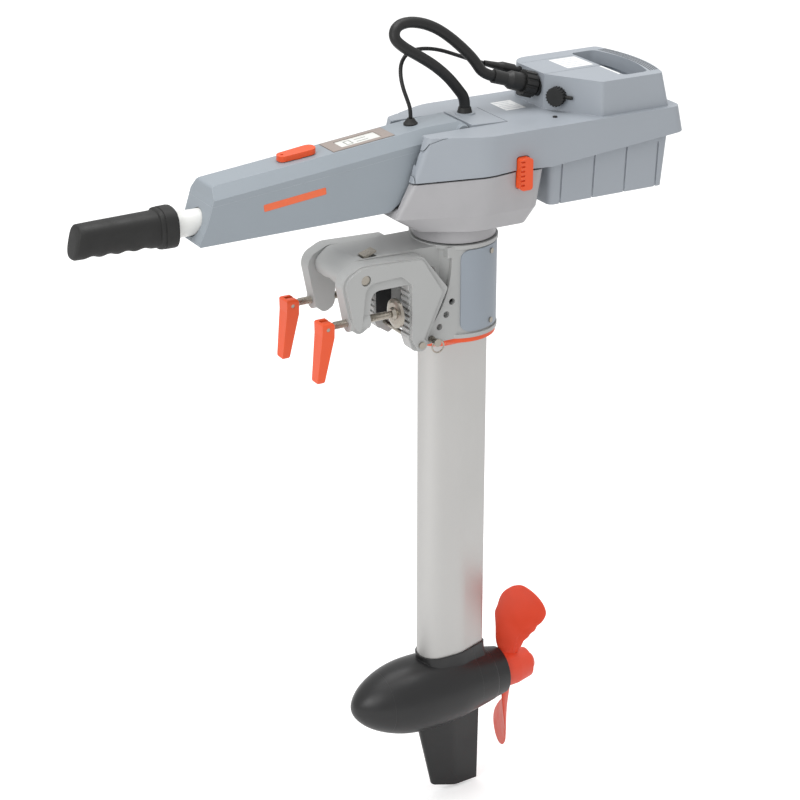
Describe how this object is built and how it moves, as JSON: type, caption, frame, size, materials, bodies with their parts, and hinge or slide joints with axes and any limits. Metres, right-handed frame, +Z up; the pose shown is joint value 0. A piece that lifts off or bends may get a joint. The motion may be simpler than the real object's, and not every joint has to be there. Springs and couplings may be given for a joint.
{
  "type": "trolling motor",
  "caption": "Electric outboard that clamps to a transom, with tiller, detachable battery, aluminium shaft and finned motor pod with propeller.",
  "frame": {"origin": "the seat on the boat: Z = 0 is the top edge of the transom under the clamp arms' hook, X = 0 is the toothed face that bears on the transom's outer face, Y = 0 is the middle of the motor", "axes": "+X aft towards the propeller and battery, -X towards the tiller grip, +Y to starboard, +Z up along the shaft"},
  "size_m": [0.8197, 0.1818, 1.106],
  "materials": {
    "battery_plastic": "moulded ABS, satin",
    "head_plastic": "moulded glass-filled plastic, warm silver grey",
    "tiller_plastic": "moulded ABS, satin",
    "cast_aluminium": "cast and powder coated, silver grey",
    "shaft_aluminium": "extruded, satin anodised",
    "cover_plastic": "moulded, satin",
    "stainless": "turned stainless steel",
    "orange_plastic": "moulded nylon",
    "propeller_plastic": "moulded glass-filled nylon",
    "pylon_black": "moulded, satin black",
    "black_rubber": "moulded rubber",
    "cable_black": "extruded cable sheath",
    "black_plastic": "moulded",
    "white_tube": "smooth, glossy white",
    "display_frame": "printed film, satin",
    "display_window": "clear acrylic over a grey panel",
    "cell_block": "wrapped cells",
    "circuit_board": "glass-fibre board",
    "copper_iron": "laminated iron and copper windings",
    "gear_steel": "hardened steel",
    "bush_plastic": "acetal"
  },
  "bodies": {
    "clamp": {"clamp_arm_left": "cast_aluminium", "clamp_arm_right": "cast_aluminium", "tilt_pivot_bolt": "stainless", "lower_tie_rod": "stainless"},
    "swivel": {"swivel_yoke": "cast_aluminium", "swivel_rear_cover": "cover_plastic", "cover_screws": "stainless"},
    "catch": {"tilt_catch": "stainless"},
    "trim_pin": {"trim_pin": "stainless"},
    "trim_ring": {"trim_pin_ring": "stainless"},
    "drive": {"shaft_tube": "shaft_aluminium", "shaft_bushes": "bush_plastic", "lower_collar": "orange_plastic", "shaft_harness": "copper_iron", "head_lower_shell": "head_plastic", "head_deck": "battery_plastic", "power_gland": "black_rubber", "battery_top_case": "battery_plastic", "battery_bottom_case": "battery_plastic", "battery_cells": "cell_block", "battery_sockets": "black_plastic", "power_cable": "cable_black", "power_plug": "black_plastic", "data_cable": "cable_black", "data_plug": "black_plastic", "pylon_housing": "pylon_black", "pylon_nose": "pylon_black", "pylon_tail_cover": "pylon_black", "output_bearing": "gear_steel", "fin": "pylon_black", "stator": "copper_iron", "ring_gear": "gear_steel", "motor_controller": "circuit_board", "tiller_hinge_pin": "stainless"},
    "lock_pin": {"battery_locking_pin": "orange_plastic"},
    "charge_cap": {"charge_cap": "black_rubber"},
    "power_button": {"power_button": "black_plastic"},
    "power_ring": {"power_plug_ring": "black_plastic"},
    "tiller": {"tiller_lower_shell": "tiller_plastic", "tiller_top_cover": "tiller_plastic", "display_bezel": "display_frame", "display_glass": "display_window", "data_gland": "black_rubber", "throttle_sensor": "circuit_board"},
    "stop_key": {"stop_key": "orange_plastic"},
    "throttle": {"throttle_tube": "white_tube", "throttle_grip": "black_rubber"},
    "propeller": {"propeller": "propeller_plastic", "propeller_nut": "propeller_plastic", "planet_carrier": "gear_steel"},
    "rotor": {"rotor": "gear_steel"},
    "planet_1": {"planet_gear_1": "gear_steel"},
    "planet_2": {"planet_gear_2": "gear_steel"},
    "planet_3": {"planet_gear_3": "gear_steel"},
    "pad_left": {"pressure_pad_left": "stainless"},
    "screw_left": {"clamp_screw_left": "stainless"},
    "toggle_left": {"toggle_handle_left": "orange_plastic"},
    "pad_right": {"pressure_pad_right": "stainless"},
    "screw_right": {"clamp_screw_right": "stainless"},
    "toggle_right": {"toggle_handle_right": "orange_plastic"}
  },
  "joints": [
    {"name": "tilt", "type": "hinge", "parent": "clamp", "child": "swivel", "pos_m": [-0.062, 0, 0.017], "axis": [0, -1, 0], "range_deg": [0, 70]},
    {"name": "steer", "type": "hinge", "parent": "swivel", "child": "drive", "pos_m": [0.098, 0, 0], "axis": [0, 0, 1], "range_deg": [-45, 45]},
    {"name": "catch_press", "type": "hinge", "parent": "swivel", "child": "catch", "pos_m": [-0.046, -0.024, 0.0325], "axis": [0, 1, 0], "range_deg": [0, 8], "stiffness_Nm_per_rad": 0.4},
    {"name": "trim_pin_pull", "type": "slide", "parent": "swivel", "child": "trim_pin", "axis": [0, -1, 0], "range_m": [0, 0.112]},
    {"name": "trim_ring_swing", "type": "hinge", "parent": "trim_pin", "child": "trim_ring", "pos_m": [0.03664, -0.06, -0.08164], "axis": [0.8797, 0, 0.4755], "range_deg": [-20, 30]},
    {"name": "tiller_fold", "type": "hinge", "parent": "drive", "child": "tiller", "pos_m": [0.092, 0, 0.178], "axis": [0, 1, 0], "range_deg": [0, 45], "deforming": ["data_cable"]},
    {"name": "throttle_twist", "type": "hinge", "parent": "tiller", "child": "throttle", "pos_m": [-0.3, 0, 0.11], "axis": [1, 0, 0], "range_deg": [-55, 55]},
    {"name": "stop_key_lift", "type": "slide", "parent": "tiller", "child": "stop_key", "axis": [-0.1069, 0, 0.9943], "range_m": [0, 0.02]},
    {"name": "propeller_spin", "type": "hinge", "parent": "drive", "child": "propeller", "pos_m": [0.18, 0, -0.625], "axis": [1, 0, 0], "continuous": true},
    {"name": "rotor_spin", "type": "hinge", "parent": "drive", "child": "rotor", "pos_m": [0.03, 0, -0.625], "axis": [1, 0, 0], "continuous": true},
    {"name": "planet_spin_1", "type": "hinge", "parent": "propeller", "child": "planet_1", "pos_m": [0.1, 0, -0.60625], "axis": [1, 0, 0], "continuous": true},
    {"name": "planet_spin_2", "type": "hinge", "parent": "propeller", "child": "planet_2", "pos_m": [0.1, -0.01624, -0.63438], "axis": [1, 0, 0], "continuous": true},
    {"name": "planet_spin_3", "type": "hinge", "parent": "propeller", "child": "planet_3", "pos_m": [0.1, 0.01624, -0.63438], "axis": [1, 0, 0], "continuous": true},
    {"name": "pad_travel_left", "type": "slide", "parent": "clamp", "child": "pad_left", "axis": [1, 0, 0], "range_m": [-0.024, 0.01]},
    {"name": "screw_turn_left", "type": "hinge", "parent": "pad_left", "child": "screw_left", "pos_m": [0, 0.048, -0.038], "axis": [1, 0, 0], "range_deg": [-4330, 1810]},
    {"name": "toggle_fold_left", "type": "hinge", "parent": "screw_left", "child": "toggle_left", "pos_m": [-0.115, 0.048, -0.038], "axis": [0, 1, 0], "range_deg": [0, 85]},
    {"name": "pad_travel_right", "type": "slide", "parent": "clamp", "child": "pad_right", "axis": [1, 0, 0], "range_m": [-0.024, 0.01]},
    {"name": "screw_turn_right", "type": "hinge", "parent": "pad_right", "child": "screw_right", "pos_m": [0, -0.048, -0.038], "axis": [1, 0, 0], "range_deg": [-4330, 1810]},
    {"name": "toggle_fold_right", "type": "hinge", "parent": "screw_right", "child": "toggle_right", "pos_m": [-0.115, -0.048, -0.038], "axis": [0, 1, 0], "range_deg": [0, 85]},
    {"name": "locking_pin_pull", "type": "slide", "parent": "drive", "child": "lock_pin", "axis": [0, -1, 0], "range_m": [0, 0.06]},
    {"name": "charge_cap_pull", "type": "slide", "parent": "drive", "child": "charge_cap", "axis": [-0.8432, -0.5377, 0], "range_m": [0, 0.014]},
    {"name": "power_button_press", "type": "slide", "parent": "drive", "child": "power_button", "axis": [0, 0, -1], "range_m": [0, 0.0012], "stiffness_N_per_m": 600},
    {"name": "power_ring_turn", "type": "hinge", "parent": "drive", "child": "power_ring", "pos_m": [0.1633, 0.0157, 0.2288], "axis": [0.9493, -0.0979, -0.2988], "range_deg": [0, 60]}
  ],
  "couplings": [
    {"joint": "rotor_spin", "follows": "propeller_spin", "ratio": 5},
    {"joint": "planet_spin_1", "follows": "propeller_spin", "ratio": -2.6667},
    {"joint": "planet_spin_2", "follows": "propeller_spin", "ratio": -2.6667},
    {"joint": "planet_spin_3", "follows": "propeller_spin", "ratio": -2.6667},
    {"joint": "screw_turn_left", "follows": "pad_travel_left", "rad_per_m": 3141.6},
    {"joint": "screw_turn_right", "follows": "pad_travel_right", "rad_per_m": 3141.6}
  ]
}
